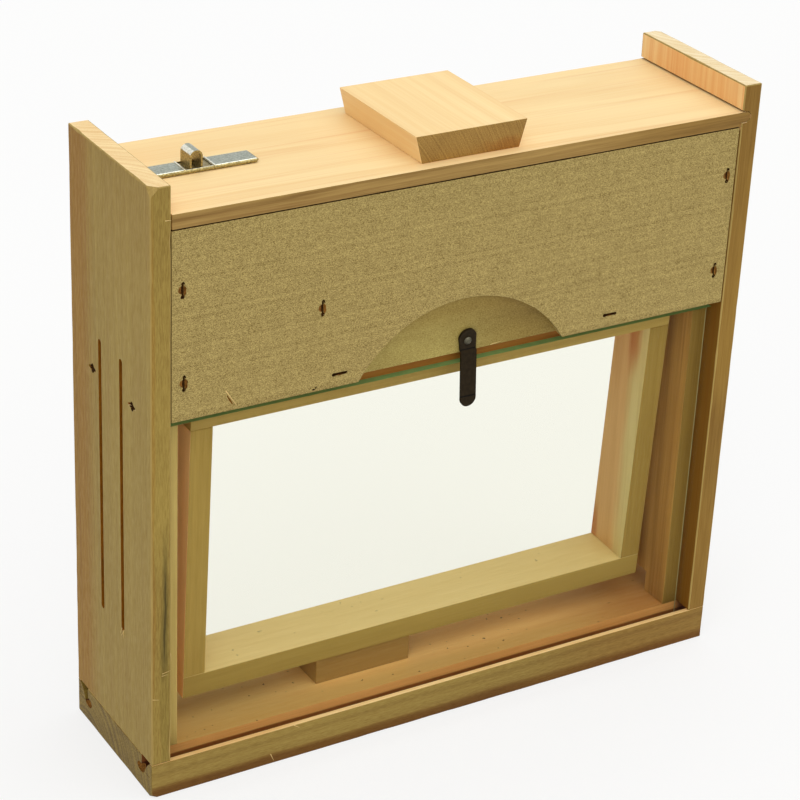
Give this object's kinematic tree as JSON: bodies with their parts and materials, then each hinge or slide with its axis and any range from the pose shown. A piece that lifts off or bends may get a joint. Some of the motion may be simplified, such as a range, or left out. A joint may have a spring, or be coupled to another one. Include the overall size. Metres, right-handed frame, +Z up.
{
  "type": "observation hive",
  "caption": "Narrow wooden beehive with a glass pane front and back, a comb frame inside, a feed chamber above it and a tilting lid with a sliding latch.",
  "frame": {"origin": "middle of the base board's underside", "axes": "+Z up, the front with the finger scoop and turn-button faces -Y, +X to the right seen from the front"},
  "size_m": [0.31, 0.082, 0.3],
  "materials": {
    "board_wood": "planed softwood, oiled",
    "lining_wood": "planed softwood, reddish",
    "panel_wood": "planed hardwood with short flecks",
    "frame_wood": "pale planed wood",
    "lid_wood": "pale planed softwood",
    "window_glass": "clear float glass, green at its cut edges",
    "bronzed_steel": "bronzed sheet steel, nearly black",
    "steel_wire": "dull bright steel",
    "zinc_sheet": "bright zinc plating on pressed sheet steel"
  },
  "bodies": {
    "case": {"base_board": "board_wood", "left_side_board": "board_wood", "right_side_board": "board_wood", "left_lining": "lining_wood", "right_lining": "lining_wood", "front_panel": "panel_wood", "rear_panel": "panel_wood", "front_glass": "window_glass", "rear_glass": "window_glass", "feeder_floor": "lining_wood", "feeder_partition": "lining_wood", "frame_rest_block": "frame_wood", "frame_top_bar": "frame_wood", "frame_bottom_bar": "frame_wood", "frame_left_bar": "frame_wood", "frame_right_bar": "frame_wood", "frame_nails": "steel_wire", "front_panel_staples": "steel_wire", "rear_panel_staples": "steel_wire", "side_staples": "steel_wire", "base_staples": "steel_wire", "front_button_screw": "steel_wire", "rear_button_screw": "steel_wire"},
    "front_button": {"front_turn_button": "bronzed_steel"},
    "rear_button": {"rear_turn_button": "bronzed_steel"},
    "lid": {"lid_board": "lid_wood", "lid_handle": "lid_wood", "handle_screws": "zinc_sheet", "latch_sleeve": "zinc_sheet"},
    "bolt": {"latch_bolt": "zinc_sheet"}
  },
  "joints": [
    {"name": "lid_tilt", "type": "hinge", "parent": "case", "child": "lid", "pos_m": [0.1477, 0, 0.2845], "axis": [0, 1, 0], "range_deg": [0, 14]},
    {"name": "latch_slide", "type": "slide", "parent": "lid", "child": "bolt", "axis": [1, 0, 0], "range_m": [0, 0.0048]},
    {"name": "front_button_turn", "type": "hinge", "parent": "case", "child": "front_button", "pos_m": [0.00485, -0.03496, 0.19778], "axis": [0, -0.9806, -0.1961], "range_deg": [-95, 95]},
    {"name": "rear_button_turn", "type": "hinge", "parent": "case", "child": "rear_button", "pos_m": [-0.00485, 0.03496, 0.19778], "axis": [0, 0.9806, -0.1961], "range_deg": [-95, 95]}
  ]
}
